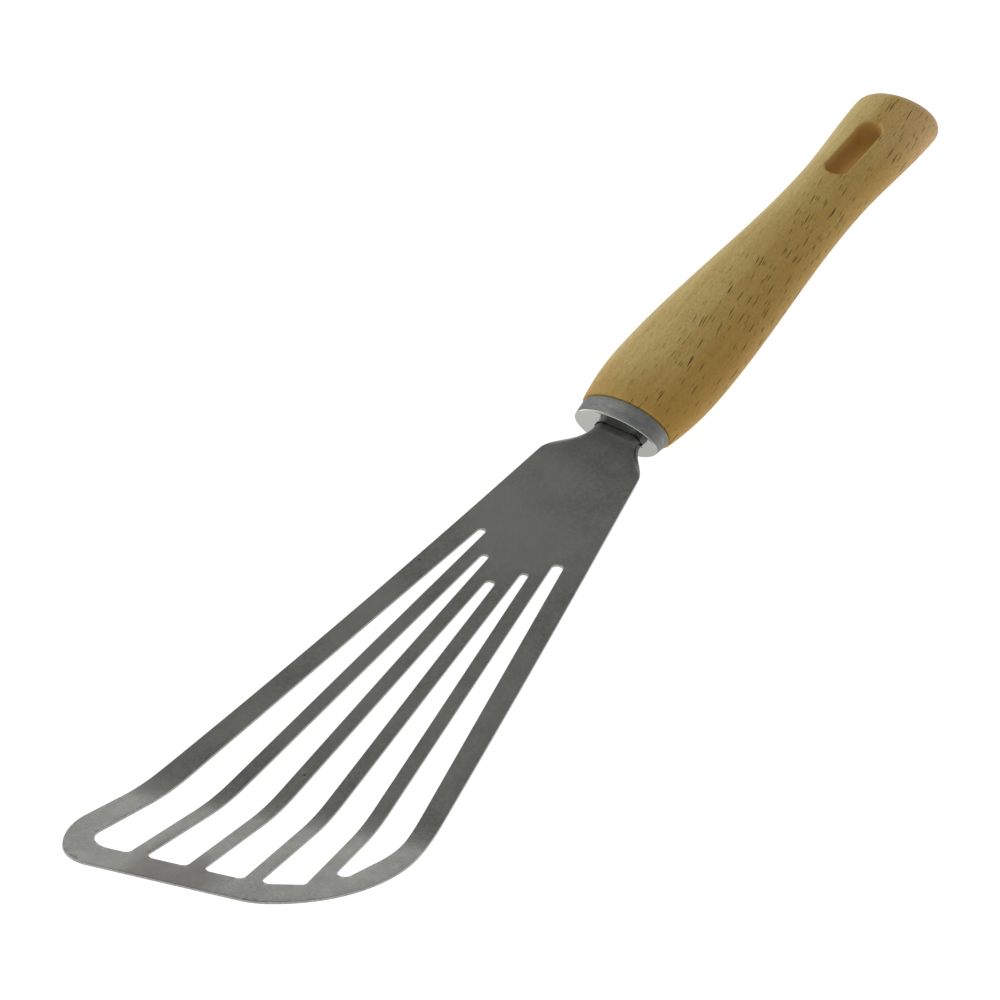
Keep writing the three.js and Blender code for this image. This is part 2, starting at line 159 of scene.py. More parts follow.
# Fineness of the skins, which lie just inside the flats of the solids
SKIN_TRIM = 0.03
OVAL_SIDES = 128
BODY_STEPS = 160
CAP_RINGS = 5
CAP_SHARE = 0.15
ROUND_STEPS = 8
FRONT_STEPS = 4
HEM_STEPS = 3
BAND_STEPS = 6
ARC_ERROR = 0.003
EDGE_ROUND = 0.14
EDGE_STEPS = 3
EDGE_GAP = 1.2
PLATE_GAP = 2.2
BEND_GAP = 0.9
TANG_STEPS = 18
NECK_SHARES = (0.33, 0.67)
FLANGE_STEPS = 9
WALL_STEPS = 14
RIM_STEPS = 7
FILL_MARGIN = 0.55
FILL_ERROR = 1e-6
HULL_TRIANGLES = 0
DISH_STEPS = 14
DISH_REACH = 0.9
DISH_CROWDING = 1.5
DISH_MARGIN = 0.2
LEAST_CORNER_COSINE = 0.5
NORMAL_WEIGHT = 100

# Material slots of a piece
MAIN_FINISH = 0
CUT_FINISH = 1

# Camera: the photograph's angle, what it aims at and where that lies in a square picture
VIEW_ELEVATION = math.radians(43.971)
VIEW_HEADING = math.radians(31.811)
VIEW_DISTANCE = 1920
VIEW_AIM = Vector((4, 0, 0))
AIM_PIXEL = (617.5, 431.5)
PICTURE_SIDE = 1000
FOCAL_PIXELS = 8231
SENSOR = 36

# Studio: a tent's brightness by the sine of the height above the horizon, and a broad soft light
TENT_LEVELS = ((0.0, 1.3), (0.2, 1.2), (0.42, 0.45), (0.64, 0.37), (0.8, 0.3), (1.0, 0.4))
LIGHT_TOWARDS = Vector((0.1, -1, 0.65))
LIGHT_INNER = math.radians(22)
LIGHT_OUTER = math.radians(36)
LIGHT_LEVEL = 1.5
FLOOR_SIDE = 40
FLOOR_SHADE = 0.4
FLOOR_GLOW = 0.9
FLOOR_GAP = 0.05

# Places and sizes that follow from those above
FACE = FERRULE_LENGTH
FERRULE_INSIDE = FACE - FERRULE_DISH - FERRULE_WALL
DISH_HALF_WIDTH = FERRULE_FACE_WIDTH / 2 - FERRULE_ROUND - FERRULE_LAND
DISH_HALF_DEPTH = FERRULE_FACE_DEPTH / 2 - FERRULE_ROUND - FERRULE_LAND
PLATE_START = max(LEFT_SHOULDER_AT, RIGHT_SHOULDER_AT)
FLANGE_RADIUS = NECK_FLANGE / NECK_TURN
BEND_START = (FACE + BEND_AT) * math.cos(BEND_SKEW) - BEND_RADIUS * math.tan(BEND_ANGLE / 2)


# Skins

class Skin:
    """Points and faces of one piece, in millimetres along the tool's axes.

    Each point has its share of the hang hole's bore, from 0 outside to 1 on its wall.
    """

    def __init__(self):
        self.points = []
        self.shares = []
        self.faces = []
        self.finishes = []

    def add(self, points, share=0.0):
        first = len(self.points)
        self.points.extend(points)
        self.shares.extend([share] * len(points))
        return list(range(first, len(self.points)))

    def bridge(self, one, other, finish=MAIN_FINISH):
        count = len(one)
        for i in range(count):
            after = (i + 1) % count
            self.face((one[i], one[after], other[after], other[i]), finish)

    def face(self, corners, finish=MAIN_FINISH):
        self.faces.append(tuple(corners))
        self.finishes.append(finish)

    def from_above(self, index):
        return self.points[index].xy

    def from_ahead(self, index):
        return self.points[index].yz

    def fill(self, loops, inner, plan):
        """Triangles between an outer loop and its holes, over points that plan lays flat."""
        used = [index for loop in loops for index in loop] + inner
        flat = [plan(index) for index in used]

        # The triangulation takes rings that run counter-clockwise, and covers the whole hull
        rings = []
        first = 0
        for loop in loops:
            ring = list(range(first, first + len(loop)))
            steps = zip(ring, ring[1:] + ring[:1])
            area = sum(flat[a].x * flat[b].y - flat[b].x * flat[a].y for a, b in steps)
            rings.append(ring if area > 0 else ring[::-1])
            first += len(loop)
        _, _, triangles, sources, _, owners = delaunay_2d_cdt(
            flat, [], rings, HULL_TRIANGLES, FILL_ERROR, True
        )
        for triangle, rings_round in zip(triangles, owners):
            is_between = list(rings_round) == [0]
            if is_between:
                self.face([used[sources[corner][0]] for corner in triangle])

    def piece(self, name, materials):
        mesh = bpy.data.meshes.new(name)
        mesh.from_pydata([LAY @ (point * MM) for point in self.points], [], self.faces)
        mesh.polygons.foreach_set("material_index", self.finishes)
        share = mesh.attributes.new("bore", "FLOAT", "POINT")
        share.data.foreach_set("value", self.shares)
        work = bmesh.new()
        work.from_mesh(mesh)
        loose = [vertex for vertex in work.verts if not vertex.link_faces]
        bmesh.ops.delete(work, geom=loose, context="VERTS")
        bmesh.ops.recalc_face_normals(work, faces=work.faces)
        for face in work.faces:
            face.smooth = True
        work.to_mesh(mesh)
        work.free()
        for material in materials:
            mesh.materials.append(material)
        made = bpy.data.objects.new(name, mesh)
        bpy.context.scene.collection.objects.link(made)
        weighted = made.modifiers.new("weighted_normals", "WEIGHTED_NORMAL")
        weighted.weight = NORMAL_WEIGHT
        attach(made, "root")
        return made


# Plan geometry

def lerp(low, high, share):
    return low + (high - low) * share


def smoothstep(value, low, high):
    share = min(max((value - low) / (high - low), 0), 1)
    return share * share * (3 - 2 * share)


def edge(normal_degrees, point):
    """A straight edge, kept as its outward normal and its distance from the origin along it."""
    turn = math.radians(normal_degrees)
    normal = Vector((math.cos(turn), math.sin(turn)))
    return normal, normal.dot(point)


def moved(line, outward):
    return line[0], line[1] + outward


def square_across(x):
    return edge(0, Vector((x, 0)))


def meet(one, other):
    (a, a_far), (b, b_far) = one, other
    cross = a.x * b.y - a.y * b.x
    return Vector(((a_far * b.y - b_far * a.y) / cross, (a.x * b_far - b.x * a_far) / cross))


def arc_steps(radius, angle):
    step = 2 * math.acos(1 - min(ARC_ERROR / radius, 1))
    return max(1, math.ceil(angle / step))


def turned(point, centre, angle):
    arm = point - centre
    cos, sin = math.cos(angle), math.sin(angle)
    return centre + Vector((arm.x * cos - arm.y * sin, arm.x * sin + arm.y * cos))


def rounded_polygon(corners):
    """A polygon of (point, radius) corners, each rounded as far as its sides leave room."""
    fits = []
    for i, (at, radius) in enumerate(corners):
        before = corners[i - 1][0] - at
        after = corners[(i + 1) % len(corners)][0] - at
        half = before.angle(after) / 2
        fits.append((at, before, after, half, radius / math.tan(half)))
    loop = []
    for i, (at, before, after, half, reach) in enumerate(fits):
        if reach == 0:
            loop.append(at)
            continue
        room_before = min(1, before.length / (reach + fits[i - 1][4]))
        room_after = min(1, after.length / (reach + fits[(i + 1) % len(fits)][4]))
        reach *= min(room_before, room_after)
        start = at + before.normalized() * reach
        end = at + after.normalized() * reach
        centre = at + ((start + end) / 2 - at) / math.cos(half) ** 2
        sweep = math.pi - 2 * half
        sense = math.copysign(1, after.x * before.y - after.y * before.x)
        steps = arc_steps(reach * math.tan(half), sweep)
        loop += [turned(start, centre, sense * sweep * step / steps) for step in range(steps + 1)]
    return loop


def spaced(loop, gap):
    """The same closed line with no step longer than the gap."""
    fine = []
    for i, point in enumerate(loop):
        after = loop[(i + 1) % len(loop)]
        steps = max(1, math.ceil((after - point).length / gap))
        fine += [point.lerp(after, step / steps) for step in range(steps)]
    return fine


def outward_normals(loop):
    """Outward directions at the points of a counter-clockwise loop, lengthened at its corners."""
    normals = []
    for i, point in enumerate(loop):
        before = (point - loop[i - 1]).normalized()
        after = (loop[(i + 1) % len(loop)] - point).normalized()
        middle = (before + after).normalized()
        normal = Vector((middle.y, -middle.x))
        normals.append(normal / max(middle.dot(after), LEAST_CORNER_COSINE))
    return normals


def grown(loop, distance):
    return [point + normal * distance for point, normal in zip(loop, outward_normals(loop))]


def rounded_box(centre, half_length, half_width, radius):
    places = [(-1, -1), (1, -1), (1, 1), (-1, 1)]
    return rounded_polygon(
        [(centre + Vector((x * half_length, y * half_width)), radius) for x, y in places]
    )


def round_steps(radius, steps):
    """A quarter-round edge as (depth from the end face, inset from the side), from the side in."""
    turns = [math.pi / 2 * step / steps for step in range(1, steps + 1)]
    return [(radius * (1 - math.sin(turn)), radius * (1 - math.cos(turn))) for turn in turns]


# Handle

def handle_half(back, front, belly, waist, butt):
    if back < BELLY_AT:
        full = belly - (belly - front) * (1 - back / BELLY_AT) ** 2
    elif back < WAIST_AT:
        full = lerp(belly, waist, smoothstep(back, BELLY_AT, WAIST_AT))
    else:
        full = lerp(waist, butt, smoothstep(back, WAIST_AT, HANDLE_LENGTH - BUTT_ROUND))
    return full / 2


def half_width_at(back):
    return handle_half(back, FRONT_WIDTH, BELLY_WIDTH, WAIST_WIDTH, BUTT_WIDTH)


def half_depth_at(back):
    return handle_half(back, FRONT_DEPTH, BELLY_DEPTH, WAIST_DEPTH, BUTT_DEPTH)


def drop_at(back):
    return BUTT_DROP * smoothstep(back, BELLY_AT, HANDLE_LENGTH)


def slant_at(back):
    hole_end = HANG_HOLE_AT + HANG_HOLE_LENGTH / 2
    share = smoothstep(back, hole_end, HANDLE_LENGTH - BUTT_ROUND)
    return math.tan(math.radians(BUTT_SLANT)) * share


def oval(x, drop, half_width, half_depth, slant=0.0):
    ring = []
    for side in range(OVAL_SIDES):
        turn = 2 * math.pi * side / OVAL_SIDES
        y = half_width * math.cos(turn)
        ring.append(Vector((x - slant * y, y, half_depth * math.sin(turn) - drop)))
    return ring


def handle_ring(back, inset, shrink=1.0):
    half_width = (half_width_at(back) - SKIN_TRIM - inset) * shrink
    half_depth = (half_depth_at(back) - SKIN_TRIM - inset) * shrink
    return oval(-back, drop_at(back), half_width, half_depth, slant_at(back))


def ferrule_ring(x, inset):
    half_width = lerp(FRONT_WIDTH / 2 - WOOD_STEP, FERRULE_FACE_WIDTH / 2, x / FACE)
    half_depth = lerp(FRONT_DEPTH / 2 - WOOD_STEP, FERRULE_FACE_DEPTH / 2, x / FACE)
    return oval(x, 0, half_width - SKIN_TRIM - inset, half_depth - SKIN_TRIM - inset)


def handle_skin_at(place, side):
    """The handle's surface over a place in plan, on its upper (1) or lower (-1) side."""
    back = -place.x
    across = place.y / (half_width_at(back) - SKIN_TRIM)
    height = (half_depth_at(back) - SKIN_TRIM) * math.sqrt(1 - across * across)
    return Vector((place.x, place.y, side * height - drop_at(back)))


def mortise_loop():
    margin = SHEET / 2 + 2 * CLEARANCE + BOND
    half_width = NECK_FLAT / 2 + FLANGE_RADIUS * math.sin(NECK_TURN) + margin
    half_depth = FLANGE_RADIUS * (1 - math.cos(NECK_TURN)) / 2 + margin
    section = rounded_box(Vector((NECK_SIDE, 0)), half_width, half_depth, MORTISE_ROUND)
    return spaced(section, EDGE_GAP)


def hole_loop():
    centre = Vector((-HANG_HOLE_AT, 0))
    round_end = HANG_HOLE_WIDTH / 2
    return spaced(rounded_box(centre, HANG_HOLE_LENGTH / 2, round_end, round_end), EDGE_GAP / 2)


def rim_round(point):
    """The hang hole's edge is broken evenly, and more where a hook wears it at the butt end."""
    centre = -HANG_HOLE_AT - HANG_HOLE_LENGTH / 2
    worn = 1 - smoothstep(point.x - centre, 0, HANG_HOLE_WIDTH / 2)
    return lerp(RIM_ROUND, BUTT_RIM_ROUND, worn)


def make_handle(materials):
    skin = Skin()
    body_rear = HANDLE_LENGTH - BUTT_ROUND
    cap = [
        skin.add(handle_ring(HANDLE_LENGTH, BUTT_ROUND, CAP_SHARE * ring))
        for ring in range(1, CAP_RINGS + 1)
    ]
    butt = [
        skin.add(handle_ring(HANDLE_LENGTH - depth, inset))
        for depth, inset in reversed(round_steps(BUTT_ROUND, ROUND_STEPS))
    ]
    body = [
        skin.add(handle_ring(lerp(body_rear, FRONT_ROUND, step / BODY_STEPS), 0))
        for step in range(BODY_STEPS + 1)
    ]
    front = [
        skin.add(handle_ring(depth, inset))
        for depth, inset in round_steps(FRONT_ROUND, FRONT_STEPS)
    ]
    spigot_end = FERRULE_INSIDE - CLEARANCE
    spigot = [skin.add(ferrule_ring(x, FERRULE_WALL + CLEARANCE)) for x in (0, spigot_end)]

    # The hang hole: a rim that follows the surface on both sides, and the wall between
    loop = hole_loop()
    normals = outward_normals(loop)
    rounds = [rim_round(point) for point in loop]
    sides = {}
    for side in (1, -1):
        rings = []
        for step in range(RIM_STEPS + 1):
            turn = math.pi / 2 * step / RIM_STEPS
            ring = []
            for point, normal, radius in zip(loop, normals, rounds):
                on_skin = handle_skin_at(point + normal * radius * (1 - math.sin(turn)), side)
                ring.append(on_skin - Vector((0, 0, side * radius * (1 - math.cos(turn)))))
            rings.append(skin.add(ring, smoothstep(step / RIM_STEPS, 0, 1)))
        sides[side] = rings
    upper = [skin.points[index] for index in sides[1][-1]]
    lower = [skin.points[index] for index in sides[-1][-1]]
    walls = [
        skin.add([a.lerp(b, step / WALL_STEPS) for a, b in zip(upper, lower)], 1.0)
        for step in range(1, WALL_STEPS)
    ]
    wall_rings = sides[1] + walls + sides[-1][::-1]
    for one, other in zip(wall_rings, wall_rings[1:]):
        skin.bridge(one, other)

    # The round body, left open above and below the hole over a block that spans a quarter turn
    eighth = OVAL_SIDES // 8
    reach = HANG_HOLE_LENGTH / 2 + BUTT_RIM_ROUND + 2 * EDGE_GAP
    rows = [i for i, ring in enumerate(body) if abs(skin.points[ring[0]].x + HANG_HOLE_AT) < reach]
    blocks = {1: range(eighth, 3 * eighth), -1: range(5 * eighth, 7 * eighth)}
    rings = cap + butt + body + front + spigot
    offset = len(cap) + len(butt)
    for i, (one, other) in enumerate(zip(rings, rings[1:])):
        is_open = i - offset in rows[:-1]
        for j in range(OVAL_SIDES):
            if is_open and any(j in block for block in blocks.values()):
                continue
            after = (j + 1) % OVAL_SIDES
            skin.face((one[j], one[after], other[after], other[j]))
    skin.face(cap[0])

    # Each block, filled in between its border and the hole's rim
    for side, block in blocks.items():
        columns = [*block, block[-1] + 1]
        grid = [[body[row][column] for column in columns] for row in rows]
        border = grid[0] + [row[-1] for row in grid[1:-1]] + grid[-1][::-1]
        border += [row[0] for row in grid[-2:0:-1]]
        rim = KDTree(len(loop))
        for i, index in enumerate(sides[side][0]):
            rim.insert(skin.points[index], i)
        rim.balance()
        inner = []
        for row in grid[1:-1]:
            for index in row[1:-1]:
                near, i, distance = rim.find(skin.points[index])
                outside = (skin.points[index] - near).xy.dot(normals[i]) > 0
                if outside and distance > FILL_MARGIN:
                    inner.append(index)
        skin.fill([border, sides[side][0]], inner, skin.from_above)

    # The mortise for the tang, behind the spigot's end
    section = mortise_loop()
    mortise_end = FACE - TANG_LENGTH - 2 * CLEARANCE - BOND
    mouth, bottom = (
        skin.add([Vector((x, point.x, point.y)) for point in section])
        for x in (spigot_end, mortise_end)
    )
    skin.fill([spigot[-1], mouth], [], skin.from_ahead)
    skin.bridge(mouth, bottom)
    skin.face(bottom)
    return skin.piece("handle_wood", materials)


# Neck and tang

def sheet_half(at, neck_half, neck_end, shoulder_at, shoulder_half, splay):
    edge_half = shoulder_half + (at - shoulder_at) * math.tan(math.radians(splay))
    return lerp(neck_half, edge_half, smoothstep(at, neck_end, shoulder_at))


def left_half(at):
    neck_half = NECK_FLAT / 2 + NECK_FLANGE - NECK_SIDE
    shoulder = (LEFT_SHOULDER_AT, LEFT_HALF_WIDTH, LEFT_SPLAY_REAR)
    return sheet_half(at, neck_half, LEFT_NECK_END, *shoulder)


def right_half(at):
    neck_half = NECK_FLAT / 2 + NECK_FLANGE + NECK_SIDE
    shoulder = (RIGHT_SHOULDER_AT, RIGHT_HALF_WIDTH, RIGHT_SPLAY_REAR)
    return sheet_half(at, neck_half, RIGHT_NECK_END, *shoulder)


def channel(at, across, height):
    """A place on the neck's sheet: across its flattened width, and above the sheet's middle."""
    curl = (1 - smoothstep(at, NECK_STRAIGHT, PLATE_START)) / FLANGE_RADIUS
    crown = (1 - math.cos(curl * NECK_FLANGE)) / curl / 2 if curl else 0
    side = math.copysign(1, across)
    flat = (right_half(at) if side > 0 else left_half(at)) - NECK_FLANGE
    along = max(abs(across) - flat, 0)
    turn = curl * along
    out = abs(across) if turn == 0 else flat + math.sin(turn) / curl
    sunk = 0 if turn == 0 else (1 - math.cos(turn)) / curl
    y = side * (out + height * math.sin(turn))
    return Vector((FACE + at, y, crown - sunk + height * math.cos(turn)))


def pressed(point, height):
    """A place on the blank once it is pressed: curled at the neck, and turned up at the tip."""
    at = point.x - FACE
    if at < PLATE_START:
        return channel(at, point.y, height)
    ahead = point.x * math.cos(BEND_SKEW) + point.y * math.sin(BEND_SKEW) - BEND_START
    in_bend = min(max(ahead, 0), BEND_RADIUS * math.sin(BEND_ANGLE))
    turn = math.asin(in_bend / BEND_RADIUS)
    rise = BEND_RADIUS * (1 - math.cos(turn)) + max(ahead - in_bend, 0) * math.tan(turn)
    return Vector((point.x, point.y, rise + height / math.cos(turn)))


def channel_loop(margin):
    """The straight channel's section with its skin moved out by a margin."""
    crown = FLANGE_RADIUS * (1 - math.cos(NECK_TURN)) / 2
    skin = SHEET / 2 + margin
    across = []
    for side in (1, -1):
        flange = []
        for step in range(FLANGE_STEPS + 1):
            turn = (NECK_TURN + margin / FLANGE_RADIUS) * step / FLANGE_STEPS
            middle = Vector((
                0,
                NECK_SIDE + side * (NECK_FLAT / 2 + FLANGE_RADIUS * math.sin(turn)),
                crown - FLANGE_RADIUS * (1 - math.cos(turn)),
            ))
            normal = Vector((0, side * math.sin(turn), math.cos(turn)))
            flange.append((middle + normal * skin, middle - normal * skin))
        across += flange[::-1] if side > 0 else flange
    return [upper for upper, _ in across] + [lower for _, lower in across[::-1]]


# Ferrule

def dish_ring(share):
    return oval(FACE, 0, share * DISH_HALF_WIDTH, share * DISH_HALF_DEPTH)


def dished(point):
    """A place on the ferrule's face, sunk behind its lip and flat towards the middle."""
    share = min(math.hypot(point.y / DISH_HALF_WIDTH, point.z / DISH_HALF_DEPTH), 1)
    return Vector((FACE - FERRULE_DISH * (1 - share ** DISH_POWER), point.y, point.z))


def make_ferrule(materials):
    skin = Skin()
    outer = [skin.add(ferrule_ring(CLEARANCE, FERRULE_HEM))]
    outer += [
        skin.add(ferrule_ring(CLEARANCE + depth, inset))
        for depth, inset in reversed(round_steps(FERRULE_HEM, HEM_STEPS)[:-1])
    ]
    band = [
        lerp(CLEARANCE + FERRULE_HEM, FACE - FERRULE_ROUND, step / BAND_STEPS)
        for step in range(BAND_STEPS + 1)
    ]
    outer += [skin.add(ferrule_ring(x, 0)) for x in band]
    outer += [
        skin.add(ferrule_ring(FACE - depth, inset))
        for depth, inset in round_steps(FERRULE_ROUND, ROUND_STEPS)
    ]
    hollow = [skin.add(ferrule_ring(x, FERRULE_WALL)) for x in (CLEARANCE, FERRULE_INSIDE)]
    for one, other in zip(outer, outer[1:]):
        skin.bridge(one, other)
    skin.bridge(outer[0], hollow[0])
    skin.bridge(*hollow)

    # The slot for the tang, and the dished face round it
    section = channel_loop(TANG_GAP)
    mouth = skin.add([dished(point) for point in section])
    rear = skin.add([Vector((FERRULE_INSIDE, point.y, point.z)) for point in section])
    skin.bridge(mouth, rear)
    near = KDTree(len(section))
    for point in section:
        near.insert((0, point.y, point.z), 0)
    near.balance()
    rings = [
        dish_ring(1 - DISH_REACH * (step / DISH_STEPS) ** DISH_CROWDING)
        for step in range(DISH_STEPS)
    ]
    places = [
        point
        for ring in rings
        for point in ring
        if near.find((0, point.y, point.z))[2] > DISH_MARGIN
    ]
    face = skin.add([dished(point) for point in places])
    skin.fill([outer[-1], mouth], face, skin.from_ahead)
    skin.fill([hollow[-1], rear], [], skin.from_ahead)
    return skin.piece("ferrule_cap", materials)


# Blade

LEFT_REAR = edge(-90 - LEFT_SPLAY_REAR, Vector((FACE + LEFT_SHOULDER_AT, -LEFT_HALF_WIDTH)))
RIGHT_REAR = edge(90 + RIGHT_SPLAY_REAR, Vector((FACE + RIGHT_SHOULDER_AT, RIGHT_HALF_WIDTH)))
LEFT_SWEEP = meet(LEFT_REAR, square_across(FACE + LEFT_SWEEP_AT))
RIGHT_SWEEP = meet(RIGHT_REAR, square_across(FACE + RIGHT_SWEEP_AT))
LEFT_FRONT = edge(-90 - LEFT_SPLAY_FRONT, LEFT_SWEEP)
RIGHT_FRONT = edge(90 + RIGHT_SPLAY_FRONT, RIGHT_SWEEP)
TIP = edge(FRONT_SLANT, Vector((FACE + BLADE_LENGTH, 0)))
NOSE = edge(NOSE_SLANT, meet(TIP, edge(90, Vector((0, NOSE_SIDE)))))
LEFT_CHEEK = moved(edge(LEFT_CHEEK_TURN, meet(LEFT_FRONT, TIP)), -LEFT_CHEEK_CUT)


def neck_rows():
    """Places along the tang and the neck, closer together where the channel opens."""
    tang = [lerp(-TANG_LENGTH, -EDGE_GAP, step / TANG_STEPS) for step in range(TANG_STEPS + 1)]
    steps = math.ceil(PLATE_START / (EDGE_GAP / 2))
    return tang + [PLATE_START * step / steps for step in range(steps)]


def blank_outline():
    """The flattened sheet's outline, counter-clockwise, from the tang's end on the left."""
    rear = square_across(FACE + PLATE_START)
    blade = rounded_polygon([
        (meet(rear, LEFT_REAR), 0),
        (meet(LEFT_REAR, LEFT_FRONT), LEFT_SWEEP_RADIUS),
        (meet(LEFT_FRONT, LEFT_CHEEK), LEFT_CHEEK_RADIUS),
        (meet(LEFT_CHEEK, TIP), LEFT_CORNER_RADIUS),
        (meet(TIP, NOSE), NOSE_RADIUS),
        (meet(NOSE, RIGHT_FRONT), RIGHT_CORNER_RADIUS),
        (meet(RIGHT_FRONT, RIGHT_REAR), RIGHT_SWEEP_RADIUS),
        (meet(RIGHT_REAR, rear), 0),
    ])
    rows = neck_rows()
    left = [Vector((FACE + at, -left_half(at))) for at in rows]
    right = [Vector((FACE + at, right_half(at))) for at in reversed(rows)]
    return spaced(left + blade + right, EDGE_GAP)


def corner_slot_end():
    centre = meet(moved(NOSE, -RIGHT_CORNER_RADIUS), moved(RIGHT_FRONT, -RIGHT_CORNER_RADIUS))
    return moved(edge(CORNER_SLOT_TURN, centre), RIGHT_CORNER_RADIUS - CORNER_BAND)


def slot_outlines():
    centre = Vector((FACE - FAN_CENTRE_BACK, -FAN_CENTRE_LEFT))
    middle = (SLOT_COUNT - 1) / 2
    left_strip = moved(edge(90 - LEFT_SPLAY_FRONT + LEFT_STRIP_TAPER, LEFT_SWEEP), LEFT_STRIP)
    right_strip = moved(edge(90 + RIGHT_SPLAY_FRONT + RIGHT_STRIP_TAPER, RIGHT_SWEEP), -RIGHT_STRIP)
    ends = [moved(TIP, -FRONT_BAND)] * (SLOT_COUNT - 2)
    ends += [moved(NOSE, -NOSE_BAND), corner_slot_end()]

    def fan(place):
        return FAN_TURN + (place - middle) * FAN_PITCH

    def rib(place):
        return edge(90 + fan(place), centre)

    outlines = []
    for slot, end in enumerate(ends):
        is_first = slot == 0
        is_last = slot == SLOT_COUNT - 1
        left = left_strip if is_first else moved(rib(slot - 0.5), RIB_WIDTH / 2)
        right = right_strip if is_last else moved(rib(slot + 0.5), -RIB_WIDTH / 2)
        place = slot - middle
        start = SLOT_START + SLOT_LEAN * place - SLOT_STAGGER * abs(place)
        rear = moved(edge(fan(slot), centre), start)
        end_round = RIGHT_CORNER_RADIUS - CORNER_BAND if is_last else SLOT_FRONT_ROUND
        outlines.append(spaced(rounded_polygon([
            (meet(rear, left), SLOT_REAR_ROUND),
            (meet(left, end), LEFT_SLOT_ROUND if is_first else SLOT_FRONT_ROUND),
            (meet(end, right), end_round),
            (meet(right, rear), SLOT_REAR_ROUND),
        ]), EDGE_GAP))
    return outlines


def neck_places():
    """Places inside the tang and the neck, in plan on the flattened sheet."""
    places = []
    for at in neck_rows()[1:]:
        for side, half in ((-1, left_half(at)), (1, right_half(at))):
            flat = half - NECK_FLANGE
            places += [Vector((FACE + at, side * flat * share)) for share in NECK_SHARES]
            places += [
                Vector((FACE + at, side * (flat + NECK_FLANGE * step / FLANGE_STEPS)))
                for step in range(FLANGE_STEPS)
            ]
    return places


def plate_places():
    """Places inside the blade in rows along the bend, closer together where it turns up."""
    bend_end = BEND_START + BEND_RADIUS * math.sin(BEND_ANGLE)
    rows = []
    ahead = FACE + PLATE_START
    reach = FACE + BLADE_LENGTH + 2 * LEFT_CORNER_RADIUS
    while ahead < reach:
        rows.append(ahead)
        is_near = BEND_START - PLATE_GAP < ahead < bend_end
        ahead += BEND_GAP if is_near else PLATE_GAP
    count = math.ceil(reach / PLATE_GAP)
    along = Vector((math.cos(BEND_SKEW), math.sin(BEND_SKEW)))
    aside = Vector((-along.y, along.x))
    places = [
        along * row + aside * PLATE_GAP * column for row in rows for column in range(-count, count)
    ]
    return [place for place in places if place.x > FACE + PLATE_START]


def make_blade(materials):
    skin = Skin()
    outlines = [(grown(blank_outline(), -SKIN_TRIM), -1)]
    outlines += [(outline, 1) for outline in slot_outlines()]

    # The broken edges and the cut between them, down the outline and each slot
    turns = [math.pi / 2 * step / EDGE_STEPS for step in range(EDGE_STEPS + 1)]
    profile = [
        (EDGE_ROUND * (1 - math.sin(turn)), SHEET / 2 - EDGE_ROUND * (1 - math.cos(turn)))
        for turn in turns
    ]
    profile += [(inset, -height) for inset, height in reversed(profile)]
    upper, lower, flat_loops = [], [], []
    for outline, sense in outlines:
        loops = [grown(outline, sense * inset) for inset, _ in profile]
        rings = [
            skin.add([pressed(point, height) for point in loop])
            for loop, (_, height) in zip(loops, profile)
        ]
        for i, (one, other) in enumerate(zip(rings, rings[1:])):
            is_cut = i == EDGE_STEPS
            skin.bridge(one, other, CUT_FINISH if is_cut else MAIN_FINISH)
        upper.append(rings[0])
        lower.append(rings[-1])
        flat_loops.append(loops[0])

    # The upper and lower flats, triangulated on the flattened sheet
    flat_points = [point for loop in flat_loops for point in loop]
    near = KDTree(len(flat_points))
    for point in flat_points:
        near.insert((point.x, point.y, 0), 0)
    near.balance()
    places = [
        place
        for place in neck_places() + plate_places()
        if near.find((place.x, place.y, 0))[2] > FILL_MARGIN
    ]
    for loops, height in ((upper, SHEET / 2), (lower, -SHEET / 2)):
        inner = skin.add([pressed(place, height) for place in places])
        flat = dict(zip((index for loop in loops for index in loop), flat_points))
        flat.update(zip(inner, places))
        skin.fill(loops, inner, flat.__getitem__)
    return skin.piece("blade_sheet", materials)


# Materials

RING_TURN = (math.radians(35), 0, 0)
RAY_TURN = (math.radians(35), 0, math.radians(-6))


def srgb(red, green, blue):
    """A colour as it shows on a screen, 0 to 255, taken back through the sRGB curve."""
    shares = [value / 255 for value in (red, green, blue)]
    linear = [
        ((share + 0.055) / 1.055) ** 2.4 if share > 0.04045 else share / 12.92 for share in shares
    ]
    return (*linear, 1)


WOOD_PALE = srgb(197, 180, 118)
WOOD_HONEY = srgb(186, 160, 94)
WOOD_AMBER = srgb(168, 129, 57)
# the colour of a painted sheen on the right side near the butt
WOOD_PAINTED_SHEEN = srgb(206, 173, 127)
WOOD_PORE = srgb(136, 100, 46)
WOOD_RAY = srgb(62, 40, 12)
WOOD_BORE = srgb(188, 148, 80)
STEEL_DARK = srgb(132, 132, 128)
STEEL_LIGHT = srgb(158, 158, 152)
# the colour of painted shade on the neck
STEEL_NECK_SHADE = srgb(92, 92, 92)
STEEL_STAIN = srgb(112, 109, 105)
STEEL_PIT = srgb(70, 66, 62)
CUT_DARK = srgb(134, 134, 130)
CUT_LIGHT = srgb(164, 164, 160)
PLATE_COOL = srgb(132, 135, 136)
PLATE_WARM = srgb(154, 152, 147)
# the colour of the ferrule's brushed lines, and of painted shade on its left side
PLATE_LINES_AND_SHADE = srgb(112, 114, 113)
PLATE_BRIGHT = srgb(170, 170, 166)
EPOXY_PALE = srgb(206, 188, 142)
EPOXY_DEEP = srgb(188, 164, 112)

# Noise runs from 0 to 1 round its middle, and most of it lies within the span. Below, a span is the
# part of a pattern over which its colour comes in, a zone is a stretch along X or Y in millimetres,
# and a share is how much of the colour is laid on.
NOISE_MIDDLE = (0.5, 0.5, 0.5)
NOISE_SPAN = (0.3, 0.7)
FLECK_CORE = 0.6

